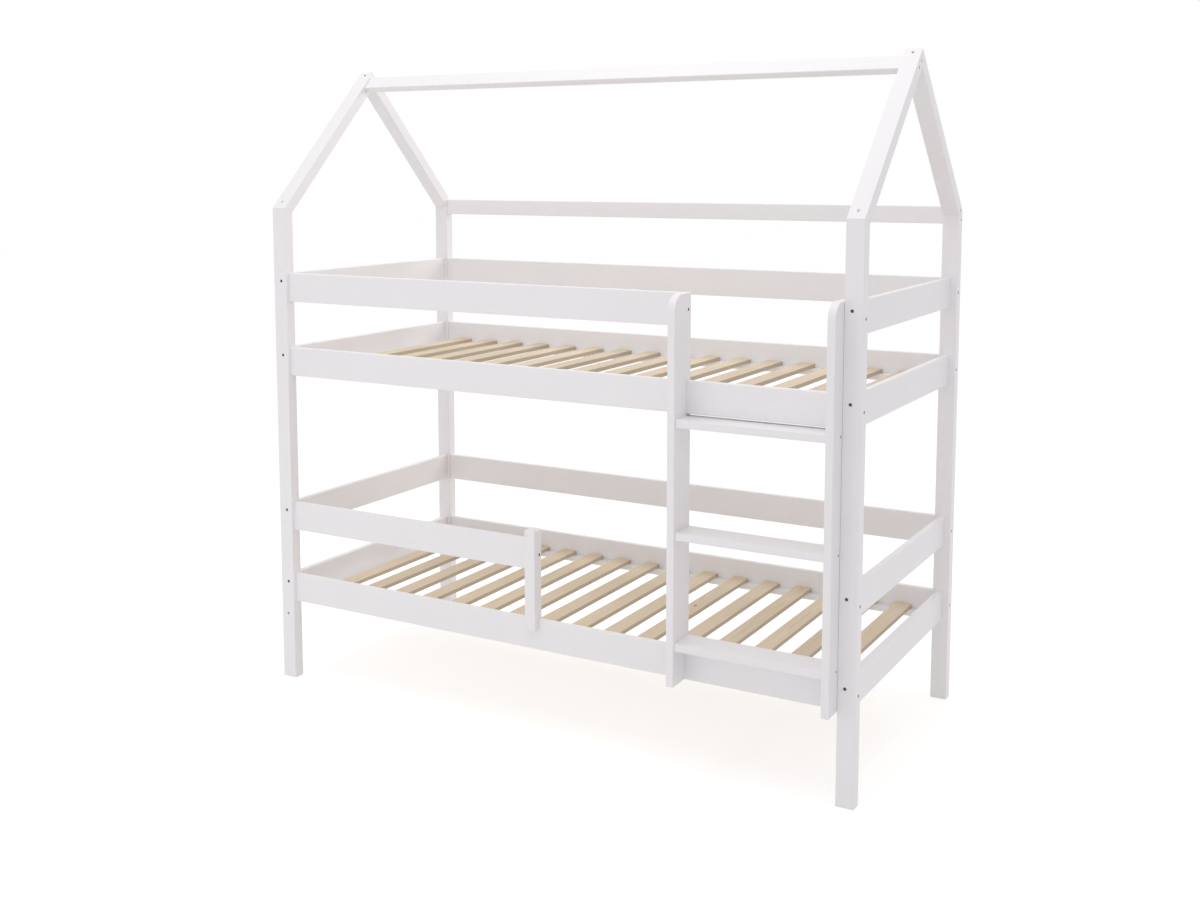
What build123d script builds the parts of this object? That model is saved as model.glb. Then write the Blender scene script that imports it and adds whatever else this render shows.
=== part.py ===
from build123d import *
from collections import namedtuple
import math
import os

# House bunk bed in painted pine, for two mattresses of 2000 by 900.
# Millimetres. X runs along the bed, Y from the ladder side to the wall side, Z up.
# The origin is on the floor, in the middle of the space that the whole bed takes up.

# The frame
bed_length = 2100.0
bed_depth = 970.0
post_width = 54.0
post_thick = 40.0
post_round = 2.5
roof_slope = 45.0

# Side boards, end boards and guards are all cut from one board
board_height = 98.0
board_thick = 20.0
board_bevel = 2.5
side_inset = 14.0
end_inset = 22.0
lower_rail_bottom = 274.0
deck_rise = 799.0
guard_gap = 157.5
eave_over_guard = 221.5

# Roof battens: the ridge board and the rail at the back eave
batten_width = 57.0
batten_thick = 24.0
batten_bevel = 2.5
ridge_drop = 48.0
eave_batten_inset = 10.0
eave_batten_drop = 17.0

# Decks
cleat_size = 22.0
cleat_end_gap = 12.0
slat_count = 16
slat_width = 57.0
slat_thick = 15.0
slat_bevel = 2.0
slat_pitch = 120.4
slat_row_shift = -8.3
slat_end_gap = 1.0

# Ladder
ladder_reach = 65.0
ladder_clear_width = 454.0
stile_thick = 24.0
stile_top_radius = 50.0
stile_bevel = 2.0
notch_clearance = 0.3
step_thick = 24.0
step_depth = 98.0
step_bevel = 2.5
top_step_gap = 6.0
bottom_step_gap = 9.0
step_names = ("top", "middle", "bottom")

# Short post at the free end of the lower front guard
short_post_width = 38.0
short_post_proud = 20.0
short_post_right = 5.0
short_post_overtop = 34.0
short_post_lap = 33.0
short_post_top_radius = 8.0
short_post_bevel = 2.0

# Bolts, screws and dowels
Fastener = namedtuple("Fastener", "head_radius head_sides head_height shank_radius key_radius key_depth recess")
Place = namedtuple("Place", "point out length")
bolt = Fastener(head_radius=4.8, head_sides=8, head_height=6.0, shank_radius=3.0, key_radius=2.8, key_depth=3.5,
                recess=1.0)
screw = Fastener(head_radius=4.0, head_sides=6, head_height=3.0, shank_radius=2.3, key_radius=0, key_depth=0,
                 recess=0.8)
foot_screw = screw._replace(recess=5.5)
shank_sides = 6
key_sides = 6
bore_clearance = 0.2
tip_clearance = 1.0
overrun = 8.0
end_bolt_rise = 22.0
board_bite = 40.0
stile_bite = 18.0
rail_screw_bite = 35.0
rail_screw_rise = 16.0
lap_screw_bite = 14.0
step_bite = 36.0
batten_bite = 36.0
batten_screw_pitch = 30.0
foot_screw_inset = 22.0
foot_screw_length = 70.0
eave_screw_stagger = 6.0
apex_screw_drop = 17.0
apex_screw_length = 80.0
dowel_radius = 4.0
dowel_sides = 6
dowel_clearance = 0.1
dowel_in_post = 15.0
dowel_in_stile = 12.0
dowel_in_board = 20.0
side_dowel_drop = 30.0
step_dowel_spread = 30.0

# Spare hole in the front left post
spare_hole_radius = 4.5
spare_hole_depth = 16.0
spare_hole_drop = 45.0

# A rounding never takes more than this share of the wall that it is on
round_limit_share = 0.45

# Places that follow from the sizes
FRONT, BACK, LEFT, RIGHT = -1, 1, -1, 1
SIDE_NAMES = {FRONT: "front", BACK: "back"}
END_NAMES = {LEFT: "left", RIGHT: "right"}
slope = math.radians(roof_slope)
mitre_slope = math.radians((90 - roof_slope) / 2)
end_face = bed_length / 2
inner_end = end_face - post_width
post_middle = end_face - post_width / 2
stile_front = -(bed_depth + ladder_reach) / 2
side_face = {FRONT: stile_front + ladder_reach, BACK: stile_front + ladder_reach + bed_depth}
inner_side = {side: side_face[side] - side * post_thick for side in (FRONT, BACK)}
board_outer = {side: side_face[side] - side * side_inset for side in (FRONT, BACK)}
board_inner = {side: board_outer[side] - side * board_thick for side in (FRONT, BACK)}
board_middle = {side: (board_outer[side] + board_inner[side]) / 2 for side in (FRONT, BACK)}
end_board_middle = end_face - end_inset - board_thick / 2
ridge_line = (side_face[FRONT] + side_face[BACK]) / 2
mitre_drop = post_thick * math.tan(mitre_slope)
upper_rail_bottom = lower_rail_bottom + deck_rise
lower_guard_bottom = lower_rail_bottom + board_height + guard_gap
upper_guard_bottom = upper_rail_bottom + board_height + guard_gap
guard_top = upper_guard_bottom + board_height
eave_height = guard_top + eave_over_guard
apex_height = eave_height + bed_depth / 2 * math.tan(slope)
board_bottoms = {
    "lower_rail": lower_rail_bottom,
    "lower_guard": lower_guard_bottom,
    "upper_rail": upper_rail_bottom,
    "upper_guard": upper_guard_bottom,
}
board_centres = {name: bottom + board_height / 2 for name, bottom in board_bottoms.items()}
right_stile_left = inner_end - stile_thick
left_stile_right = right_stile_left - ladder_clear_width
left_stile_left = left_stile_right - stile_thick
stile_back = inner_side[FRONT]
step_middle = stile_back - step_depth / 2
top_step_top = upper_rail_bottom - top_step_gap
bottom_step_top = lower_rail_bottom + board_height + bottom_step_gap + step_thick
step_rise = (top_step_top - bottom_step_top) / (len(step_names) - 1)
step_tops = [top_step_top - number * step_rise for number in range(len(step_names))]
short_post_left = short_post_right - short_post_width
short_post_front = board_outer[FRONT] - short_post_proud
short_post_foot = lower_rail_bottom + board_height - short_post_lap
eave_batten_middle = side_face[BACK] - eave_batten_inset - batten_thick / 2
eave_batten_height = eave_height - eave_batten_drop


def soft(radius, wall):
    """A rounding that fits the wall it is on."""
    return min(radius, wall * round_limit_share)


def block(corner, opposite):
    """A square-edged block between two opposite corners."""
    size = [abs(b - a) for a, b in zip(corner, opposite)]
    centre = [(a + b) / 2 for a, b in zip(corner, opposite)]
    return Pos(*centre) * Box(*size)


def long_edges(bar):
    """The four longest edges of a bar."""
    return bar.edges().sort_by(SortBy.LENGTH)[-4:]


def eased(bar, bevel):
    """Takes the sharpness off the four long edges of a bar."""
    return chamfer(long_edges(bar), bevel)


def cut_from_stock(outline, end):
    """A post or rafter: its outline seen from the end of the bed, as thick as the stock is wide."""
    start = min(end * end_face, end * inner_end)
    face = Plane.YZ.offset(start) * make_face(Polyline(*outline, close=True))
    bar = extrude(face, post_width)
    return fillet(long_edges(bar), soft(post_round, post_thick))


def post(end, side):
    """A corner post, its top cut to the half angle between post and rafter."""
    outer, inner = side_face[side], inner_side[side]
    outline = [(outer, 0), (outer, eave_height), (inner, eave_height - mitre_drop), (inner, 0)]
    return cut_from_stock(outline, end)


def rafter(end, side):
    """One slope of a gable, mitred to its post below and to the other rafter above."""
    outer, inner = side_face[side], inner_side[side]
    inner_apex = apex_height - post_thick / math.cos(slope)
    outline = [
        (outer, eave_height),
        (ridge_line, apex_height),
        (ridge_line, inner_apex),
        (inner, eave_height - mitre_drop),
    ]
    return cut_from_stock(outline, end)


def board(corner, opposite):
    """A board with its long edges eased."""
    return eased(block(corner, opposite), soft(board_bevel, board_thick))


def side_board(side, bottom, start=-inner_end, stop=inner_end):
    """A board along the bed, between the posts unless it is told where to start and stop."""
    return board((start, board_outer[side], bottom), (stop, board_inner[side], bottom + board_height))


def end_board(end, bottom):
    """A board across the bed, between the posts of one end."""
    outer = end * (end_face - end_inset)
    inner = outer - end * board_thick
    return board((outer, inner_side[FRONT], bottom), (inner, inner_side[BACK], bottom + board_height))


def roof_point(along, depth):
    """A point in the front slope: along it from the apex, then square below its outer face."""
    y = ridge_line - along * math.cos(slope) + depth * math.sin(slope)
    z = apex_height - along * math.sin(slope) - depth * math.cos(slope)
    return y, z


def batten(plane, across, through):
    """A roof batten between the gables, centred on a plane that it may be tilted with."""
    bar = plane * Box(2 * inner_end, across, through)
    return eased(bar, soft(batten_bevel, batten_thick))


def ridge_board():
    """The ridge batten, laid in line with the front slope and centred in its thickness."""
    y, z = roof_point(ridge_drop, post_thick / 2)
    tilted = Plane(origin=(0, y, z), x_dir=(1, 0, 0), z_dir=(0, -math.sin(slope), math.cos(slope)))
    return batten(tilted, batten_width, batten_thick)


def eave_rail():
    """The batten on edge at the back eave."""
    return batten(Plane((0, eave_batten_middle, eave_batten_height)), batten_thick, batten_width)


def cleat(side, rail_bottom):
    """The square bearer under the ends of the slats, flush with the foot of its side rail."""
    reach = inner_end - cleat_end_gap
    inner = board_inner[side] - side * cleat_size
    return block((-reach, board_inner[side], rail_bottom), (reach, inner, rail_bottom + cleat_size))


def slat(middle, rail_bottom):
    """One slat across the bed on its two cleats, its upper edges bevelled."""
    foot = rail_bottom + cleat_size
    near = (middle - slat_width / 2, board_inner[FRONT] + slat_end_gap, foot)
    far = (middle + slat_width / 2, board_inner[BACK] - slat_end_gap, foot + slat_thick)
    plank = block(near, far)
    upper_edges = plank.edges().filter_by(Axis.Y).group_by(Axis.Z)[-1]
    return chamfer(upper_edges, soft(slat_bevel, slat_thick))


def slat_row(rail_bottom):
    """All the slats of one deck, evenly spaced."""
    first = slat_row_shift - slat_pitch * (slat_count - 1) / 2
    return [slat(first + number * slat_pitch, rail_bottom) for number in range(slat_count)]


def rail_notch(left, rail_bottom):
    """The cut in a stile that lets a side rail pass behind it."""
    low = (left - overrun, board_outer[FRONT] - notch_clearance, rail_bottom - notch_clearance)
    high = (left + stile_thick + overrun, stile_back + overrun, rail_bottom + board_height + notch_clearance)
    return block(low, high)


def stile(left):
    """One side of the ladder: round at its front top corner, notched over both side rails."""
    low = (stile_front, lower_rail_bottom)
    outline = Polyline(
        low,
        (stile_front, guard_top),
        (stile_back, guard_top),
        (stile_back, lower_rail_bottom),
        close=True,
    )
    shape = make_face(outline)
    front_top = shape.vertices().sort_by(Axis.Y)[-2:].sort_by(Axis.X)[0]
    shape = fillet(front_top, soft(stile_top_radius, stile_back - stile_front))
    plank = extrude(Plane.YZ.offset(left) * shape, stile_thick)
    faces = plank.faces().filter_by(Axis.X)
    rims = faces[0].edges() + faces[1].edges()
    shown = [edge for edge in rims if edge.center().Z > lower_rail_bottom and edge.center().Y < stile_back]
    plank = chamfer(shown, soft(stile_bevel, stile_thick))
    for rail_bottom in (lower_rail_bottom, upper_rail_bottom):
        plank -= rail_notch(left, rail_bottom)
    return plank


def step(top):
    """A ladder step between the stiles, flush with them at the back."""
    near = (left_stile_right, stile_back - step_depth, top - step_thick)
    far = (right_stile_left, stile_back, top)
    return eased(block(near, far), soft(step_bevel, step_thick))


def lower_guard_post():
    """The short post at the free end of the lower guard, lapped over the front rail."""
    top = lower_guard_bottom + board_height + short_post_overtop
    low = (short_post_left, short_post_foot)
    outline = Polyline(low, (short_post_left, top), (short_post_right, top), (short_post_right, short_post_foot),
                       close=True)
    shape = make_face(outline)
    top_corners = shape.vertices().sort_by(Axis.Y)[-2:]
    shape = fillet(top_corners, soft(short_post_top_radius, short_post_width))
    facing_front = Plane(origin=(0, board_inner[FRONT], 0), x_dir=(1, 0, 0), z_dir=(0, -1, 0))
    stub = extrude(facing_front * shape, board_inner[FRONT] - short_post_front)
    rim = stub.faces().sort_by(Axis.Y)[0].edges().filter_by(lambda edge: edge.center().Z > short_post_foot)
    stub = chamfer(rim, soft(short_post_bevel, short_post_width))
    lap_low = (short_post_left - overrun, board_outer[FRONT] - notch_clearance, short_post_foot - overrun)
    lap_high = (short_post_right + overrun, board_inner[FRONT] + overrun,
                lower_rail_bottom + board_height + notch_clearance)
    return stub - block(lap_low, lap_high)


def prism(place, radius, sides, low, high):
    """A bar with flats, from one height to another above the face that a fastener is let into."""
    plane = Plane(origin=place.point, z_dir=place.out)
    return extrude(plane.offset(low) * RegularPolygon(radius, sides), high - low)


def fastener(kind, place):
    """A bolt or screw, its head sunk below the face, with a key socket if it is a bolt."""
    head_top = -kind.recess
    head_foot = head_top - kind.head_height
    head = prism(place, kind.head_radius, kind.head_sides, head_foot, head_top)
    shank = prism(place, kind.shank_radius, shank_sides, -place.length, head_foot)
    if not kind.key_depth:
        return head + shank
    key = prism(place, kind.key_radius, key_sides, head_top - kind.key_depth, overrun)
    return head + shank - key


def fastener_hole(kind, place):
    """The hole for a bolt or screw: a wide seat for its head, then a bore for its shank."""
    seat = -kind.recess - kind.head_height
    wide = prism(place, kind.head_radius + bore_clearance, kind.head_sides, seat, overrun)
    bore = prism(place, kind.shank_radius + bore_clearance, shank_sides, -place.length - tip_clearance, seat)
    return wide + bore


def dowel(place):
    """A dowel across a joint, its short end towards the post or stile."""
    return prism(place, dowel_radius, dowel_sides, -dowel_in_board, place.length)


def dowel_hole(place):
    """The hole for a dowel on both sides of its joint."""
    radius = dowel_radius + dowel_clearance
    return prism(place, radius, dowel_sides, -dowel_in_board - tip_clearance, place.length + tip_clearance)


def side_bolt_places():
    """Bolts through the posts into the ends of the boards along the bed."""
    places = []
    for end in (LEFT, RIGHT):
        for side in (FRONT, BACK):
            for name, height in board_centres.items():
                holds_stile = end == RIGHT and side == FRONT and name.endswith("guard")
                if not holds_stile:
                    point = (end * end_face, board_middle[side], height)
                    places.append(Place(point, (end, 0, 0), post_width + board_bite))
    return places


def stile_bolt_places():
    """Bolts through the front right post into the ladder's right stile."""
    heights = [board_centres["lower_guard"], board_centres["upper_guard"]]
    return [Place((end_face, board_middle[FRONT], z), (1, 0, 0), post_width + stile_bite) for z in heights]


def end_bolt_places():
    """Bolts through the posts into the ends of the boards across the bed."""
    places = []
    for end in (LEFT, RIGHT):
        for side in (FRONT, BACK):
            for height in board_centres.values():
                point = (end * end_board_middle, side_face[side], height + end_bolt_rise)
                places.append(Place(point, (0, side, 0), post_thick + board_bite))
    return places


def guard_bolt_places():
    """The bolts that hold the free ends of the two front guards."""
    upper = (left_stile_right, board_middle[FRONT], board_centres["upper_guard"])
    lower = (short_post_right, board_middle[FRONT], board_centres["lower_guard"])
    return [
        Place(upper, (1, 0, 0), stile_thick + board_bite),
        Place(lower, (1, 0, 0), short_post_width + board_bite),
    ]


def step_screw_places():
    """One screw through each stile into each end of a step."""
    places = []
    for top in step_tops:
        middle = top - step_thick / 2
        places.append(Place((inner_end, step_middle, middle), (1, 0, 0), stile_thick + step_bite))
        places.append(Place((left_stile_left, step_middle, middle), (-1, 0, 0), stile_thick + step_bite))
    return places


def ladder_screw_places():
    """Screws from the inside of the front rails into the stiles, and one into the short post."""
    places = []
    for left in (left_stile_left, right_stile_left):
        for name in ("lower_rail", "upper_rail"):
            point = (left + stile_thick / 2, board_inner[FRONT], board_centres[name] + rail_screw_rise)
            places.append(Place(point, (0, 1, 0), board_thick + rail_screw_bite))
    lap_middle = short_post_foot + short_post_lap / 2
    lap_point = ((short_post_left + short_post_right) / 2, board_inner[FRONT], lap_middle)
    places.append(Place(lap_point, (0, 1, 0), board_thick + lap_screw_bite))
    return places


def foot_screw_places():
    """One screw straight down through each rafter foot into its post."""
    height = eave_height + foot_screw_inset * math.tan(slope)
    places = []
    for end in (LEFT, RIGHT):
        for side in (FRONT, BACK):
            point = (end * post_middle, side_face[side] - side * foot_screw_inset, height)
            places.append(Place(point, (0, 0, 1), foot_screw_length))
    return places


def apex_screw_places():
    """One screw square through each front rafter, close to the apex, along the back rafter."""
    y, z = roof_point(apex_screw_drop, 0)
    out = (0, -math.sin(slope), math.cos(slope))
    return [Place((end * post_middle, y, z), out, apex_screw_length) for end in (LEFT, RIGHT)]


def batten_screw_places():
    """Two screws through each gable into each end of the ridge board and of the eave rail."""
    places = []
    for end in (LEFT, RIGHT):
        for step_out in (-1, 1):
            offset = step_out * batten_screw_pitch / 2
            y, z = roof_point(ridge_drop + offset, post_thick / 2)
            places.append(Place((end * end_face, y, z), (end, 0, 0), post_width + batten_bite))
            y = eave_batten_middle - step_out * eave_screw_stagger
            z = eave_batten_height + offset
            places.append(Place((end * end_face, y, z), (end, 0, 0), post_width + batten_bite))
    return places


def side_dowel_places():
    """One dowel in each end of a board along the bed, below its bolt."""
    ends = []
    for side in (FRONT, BACK):
        for name, height in board_centres.items():
            ends.append((LEFT * inner_end, LEFT, side, height, dowel_in_post))
            if side == BACK or name.endswith("rail"):
                ends.append((RIGHT * inner_end, RIGHT, side, height, dowel_in_post))
    ends.append((left_stile_left, RIGHT, FRONT, board_centres["upper_guard"], dowel_in_stile))
    ends.append((short_post_left, RIGHT, FRONT, board_centres["lower_guard"], dowel_in_post))
    places = []
    for x, way, side, height, depth in ends:
        point = (x, board_middle[side], height - side_dowel_drop)
        places.append(Place(point, (way, 0, 0), depth))
    return places


def end_dowel_places():
    """One dowel in each end of a board across the bed, as far below its middle as the bolt is above."""
    places = []
    for end in (LEFT, RIGHT):
        for side in (FRONT, BACK):
            for height in board_centres.values():
                point = (end * end_board_middle, inner_side[side], height - end_bolt_rise)
                places.append(Place(point, (0, side, 0), dowel_in_post))
    return places


def step_dowel_places():
    """Two dowels in each end of a step, either side of its screw."""
    places = []
    for top in step_tops:
        for x, way in ((right_stile_left, RIGHT), (left_stile_right, LEFT)):
            for aside in (-1, 1):
                point = (x, step_middle + aside * step_dowel_spread, top - step_thick / 2)
                places.append(Place(point, (way, 0, 0), dowel_in_stile))
    return places


def spare_hole():
    """The open round hole low in the front left post."""
    middle = (-post_middle, side_face[FRONT] - overrun, lower_rail_bottom - spare_hole_drop)
    plane = Plane(origin=middle, z_dir=(0, 1, 0))
    return extrude(plane * Circle(spare_hole_radius), spare_hole_depth + overrun)


def meet(one, other):
    """Whether the boxes round two shapes meet."""
    a, b = one.bounding_box(), other.bounding_box()
    apart = a.max.X < b.min.X or b.max.X < a.min.X
    apart = apart or a.max.Y < b.min.Y or b.max.Y < a.min.Y
    return not (apart or a.max.Z < b.min.Z or b.max.Z < a.min.Z)


def drilled(piece, holes):
    """The piece with every hole that reaches it."""
    near = [hole for hole in holes if meet(piece, hole)]
    return piece - near if near else piece


def make_wood():
    """Every piece of wood that is drilled, by name."""
    wood = {}
    for end, end_name in END_NAMES.items():
        for side, side_name in SIDE_NAMES.items():
            wood[f"post_{side_name}_{end_name}"] = post(end, side)
            wood[f"rafter_{side_name}_{end_name}"] = rafter(end, side)
        wood[f"lower_end_rail_{end_name}"] = end_board(end, lower_rail_bottom)
        wood[f"upper_end_rail_{end_name}"] = end_board(end, upper_rail_bottom)
        wood[f"lower_guard_{end_name}"] = end_board(end, lower_guard_bottom)
        wood[f"upper_guard_{end_name}"] = end_board(end, upper_guard_bottom)
    for side, side_name in SIDE_NAMES.items():
        wood[f"lower_side_rail_{side_name}"] = side_board(side, lower_rail_bottom)
        wood[f"upper_side_rail_{side_name}"] = side_board(side, upper_rail_bottom)
    wood["lower_guard_back"] = side_board(BACK, lower_guard_bottom)
    wood["upper_guard_back"] = side_board(BACK, upper_guard_bottom)
    wood["lower_guard_front"] = side_board(FRONT, lower_guard_bottom, stop=short_post_left)
    wood["upper_guard_front"] = side_board(FRONT, upper_guard_bottom, stop=left_stile_left)
    wood["lower_guard_post"] = lower_guard_post()
    wood["ridge_board"] = ridge_board()
    wood["eave_rail_back"] = eave_rail()
    wood["ladder_stile_left"] = stile(left_stile_left)
    wood["ladder_stile_right"] = stile(right_stile_left)
    for name, top in zip(step_names, step_tops):
        wood[f"ladder_step_{name}"] = step(top)
    return wood


def save(name, solids):
    """Writes one node's solids to its file."""
    export_step(Compound(solids), f"parts/{name}.step")


fastener_groups = {
    "side_board_bolts": (bolt, side_bolt_places()),
    "end_board_bolts": (bolt, end_bolt_places()),
    "stile_bolts": (bolt, stile_bolt_places()),
    "guard_end_bolts": (bolt, guard_bolt_places()),
    "step_screws": (screw, step_screw_places()),
    "ladder_rail_screws": (screw, ladder_screw_places()),
    "rafter_foot_screws": (foot_screw, foot_screw_places()),
    "apex_screws": (screw, apex_screw_places()),
    "batten_screws": (screw, batten_screw_places()),
}
dowel_groups = {
    "side_board_dowels": side_dowel_places(),
    "end_board_dowels": end_dowel_places(),
    "step_dowels": step_dowel_places(),
}

os.makedirs("parts", exist_ok=True)
holes = []
for name, (kind, places) in fastener_groups.items():
    save(name, [fastener(kind, place) for place in places])
    holes += [fastener_hole(kind, place) for place in places]
for name, places in dowel_groups.items():
    save(name, [dowel(place) for place in places])
    holes += [dowel_hole(place) for place in places]
for name, piece in make_wood().items():
    piece = drilled(piece, holes)
    if name == "post_front_left":
        piece -= spare_hole()
    save(name, piece.solids())
for deck, rail_bottom in (("lower", lower_rail_bottom), ("upper", upper_rail_bottom)):
    save(f"{deck}_slats", slat_row(rail_bottom))
    for side, side_name in SIDE_NAMES.items():
        save(f"{deck}_cleat_{side_name}", [cleat(side, rail_bottom)])
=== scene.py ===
import math
import random

import bmesh
import bpy
from mathutils import Matrix, Vector


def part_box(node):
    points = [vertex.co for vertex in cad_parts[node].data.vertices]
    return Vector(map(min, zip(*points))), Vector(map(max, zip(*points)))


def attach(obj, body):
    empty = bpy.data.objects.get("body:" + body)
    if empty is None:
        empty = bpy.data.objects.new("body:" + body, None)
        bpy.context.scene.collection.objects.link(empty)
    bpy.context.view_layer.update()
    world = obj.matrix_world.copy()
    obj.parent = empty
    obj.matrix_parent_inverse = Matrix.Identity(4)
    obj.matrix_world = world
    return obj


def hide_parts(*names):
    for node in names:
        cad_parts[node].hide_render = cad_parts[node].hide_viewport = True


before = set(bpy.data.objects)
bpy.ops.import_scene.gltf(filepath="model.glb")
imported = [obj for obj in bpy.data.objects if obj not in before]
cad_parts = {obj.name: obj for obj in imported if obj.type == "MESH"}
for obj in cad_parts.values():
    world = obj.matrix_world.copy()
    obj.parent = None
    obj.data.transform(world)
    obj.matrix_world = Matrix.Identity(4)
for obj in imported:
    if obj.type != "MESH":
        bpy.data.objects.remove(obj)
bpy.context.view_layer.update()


# Corner posts. Four lengths of planed pine, 54 by 40 mm, stand on their cut ends and carry the whole bed.
# Their long edges are rounded, and their tops are cut to the half angle where the rafters sit on them.
# They are drilled for the bolts and screws before they are painted white.
ends = {"left": -1, "right": 1}
sides = {"front": -1, "back": 1}
end_boards = ("lower_end_rail", "lower_guard", "upper_end_rail", "upper_guard")
side_boards = ("lower_side_rail", "lower_guard", "upper_side_rail", "upper_guard")
along_bed = (1, 0, 0)
upright = (0, 0, 1)
stock_round = 0.0025
stock_round_steps = 5
rim_ease = 0.0005
rim_ease_steps = 2
roof_slope = math.radians(45)
mitre_slope = (math.pi / 2 - roof_slope) / 2
bolt_head_radius = 0.0048
bolt_head_height = 0.006
bolt_head_recess = 0.001
bolt_shank_radius = 0.003
hole_clearance = 0.0002
hole_flare = 0.0004
hole_overrun = 0.004
hole_sides = 24
screw_head_radius = 0.004
screw_head_height = 0.003
screw_head_recess = 0.0008
screw_shank_radius = 0.0023
batten_screw_pitch = 0.03
eave_screw_stagger = 0.006
end_bolt_rise = 0.022
spare_hole_radius = 0.0045
spare_hole_depth = 0.016
spare_hole_drop = 0.045
round_angle = math.radians(32)
square_angle = math.radians(48)
flat_face_weight = 100
narrow_face = 0.0035
grain_seed = 11
log_shift = 5
heart_shift = 0.03
heart_depth = (0.015, 0.07)
no_knot = (9, 9)
white_paint_colour = (0.9, 0.887, 0.9, 1)
worn_paint_colour = (0.92, 0.905, 0.905, 1)
paint_fibre_stretch = (3, 160, 160)
paint_shade = 0.96
paint_roughness = 0.27
edge_wear = 0.7
chance = random.Random(grain_seed)
seats = {}


def add_node(tree, kind, inputs=None, **settings):
    """Adds a shader node. Its inputs are numbers, colours, or the sockets that feed them."""
    made = tree.nodes.new(kind)
    for option, value in settings.items():
        setattr(made, option, value)
    for socket, value in (inputs or {}).items():
        if isinstance(value, bpy.types.NodeSocket):
            tree.links.new(value, made.inputs[socket])
        else:
            made.inputs[socket].default_value = value
    return made


def maths(tree, operation, *terms):
    """Adds a sum on numbers, and gives its result."""
    return add_node(tree, "ShaderNodeMath", dict(enumerate(terms)), operation=operation).outputs[0]


def built_up(tree, start, *patterns):
    """Adds up a starting value and some patterns, each with its own weight beside it."""
    total = start
    for pattern, weight in patterns:
        total = maths(tree, "MULTIPLY_ADD", pattern, weight, total)
    return total


def mark_on_mesh(tree, name, output="Fac"):
    """Reads a mark that the mesh carries at each point."""
    return add_node(tree, "ShaderNodeAttribute", attribute_name=name).outputs[output]


def stretched(tree, place, factors):
    """Scales a place in each direction: a pattern runs long where the factor is small."""
    return add_node(tree, "ShaderNodeVectorMath", {0: place, 1: factors}, operation="MULTIPLY").outputs[0]


def noise(tree, place, scale, detail):
    """Adds a cloudy pattern between 0 and 1."""
    inputs = {"Vector": place, "Scale": scale, "Detail": detail}
    return add_node(tree, "ShaderNodeTexNoise", inputs).outputs["Fac"]


def blend_colours(tree, share, low, high):
    """Adds a mix of two colours, which go into the node's sockets 6 and 7, and gives its result."""
    return add_node(tree, "ShaderNodeMix", {0: share, 6: low, 7: high}, data_type="RGBA").outputs[2]


def shaded(tree, colour, shade):
    """Makes a colour lighter or darker by a factor."""
    return add_node(tree, "ShaderNodeVectorMath", {0: colour, "Scale": shade}, operation="SCALE").outputs[0]


def relief(tree, height, strength, depth, under=None):
    """Adds a fine relief, laid over another one if there is one, and gives the way that it faces."""
    inputs = {"Height": height, "Strength": strength, "Distance": depth}
    if under:
        inputs["Normal"] = under
    return add_node(tree, "ShaderNodeBump", inputs).outputs[0]


def new_finish(name):
    """An empty finish: its material, its node tree and its surface shader."""
    finish = bpy.data.materials.new(name)
    finish.use_nodes = True
    return finish, finish.node_tree, finish.node_tree.nodes["Principled BSDF"]


def dress(tree, surface, colour, roughness, normal):
    """Gives a surface shader its colour, roughness and relief."""
    tree.links.new(colour, surface.inputs["Base Color"])
    tree.links.new(roughness, surface.inputs["Roughness"])
    tree.links.new(normal, surface.inputs["Normal"])


def satin_white_paint():
    """White satin lacquer, two coats over sanded pine. Fibres only just show, and edges are a little thin."""
    finish, tree, surface = new_finish("satin_white_paint")
    grain = mark_on_mesh(tree, "grain", "Vector")
    fibres = noise(tree, stretched(tree, grain, paint_fibre_stretch), scale=1, detail=5)
    clouds = noise(tree, grain, scale=6, detail=3)
    skin = noise(tree, grain, scale=420, detail=2)
    rub = noise(tree, grain, scale=55, detail=4)
    thin = maths(tree, "MULTIPLY", mark_on_mesh(tree, "edge"), maths(tree, "MULTIPLY", rub, edge_wear))
    base = blend_colours(tree, thin, white_paint_colour, worn_paint_colour)
    colour = shaded(tree, base, built_up(tree, paint_shade, (fibres, 0.03), (clouds, 0.05)))
    roughness = built_up(tree, paint_roughness, (skin, 0.06), (clouds, 0.1), (thin, -0.08))
    ridges = relief(tree, fibres, strength=0.14, depth=0.0004)
    dress(tree, surface, colour, roughness, relief(tree, skin, strength=0.05, depth=0.0003, under=ridges))
    return finish


def slab(outline, thickness, place):
    """A flat outline with a thickness, square to it, moved to its place."""
    shape = bmesh.new()
    low = [shape.verts.new((u, v, 0)) for u, v in outline]
    high = [shape.verts.new((u, v, thickness)) for u, v in outline]
    shape.faces.new(low)
    shape.faces.new(high)
    for one in range(len(outline)):
        other = (one + 1) % len(outline)
        shape.faces.new((low[one], low[other], high[other], high[one]))
    shape.transform(place)
    bmesh.ops.recalc_face_normals(shape, faces=shape.faces)
    return shape


def seen_from_end(start):
    """The place of a slab whose outline is drawn in Y and Z, and which grows along X."""
    return Matrix(((0, 0, 1, start), (1, 0, 0, 0), (0, 1, 0, 0), (0, 0, 0, 1)))


def long_edges(bar):
    """The four long edges of a bar."""
    return sorted(bar.edges, key=lambda edge: edge.calc_length())[-4:]


def round_over(shape, edges, radius, steps):
    """Runs a round over some edges."""
    bmesh.ops.bevel(shape, geom=edges, offset=radius, segments=steps, profile=0.5, affect="EDGES")


def ease_corners(shape):
    """Takes the sharpness off every edge that is still square."""
    square = [edge for edge in shape.edges if edge.calc_face_angle(0) > square_angle]
    round_over(shape, square, rim_ease, rim_ease_steps)


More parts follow.
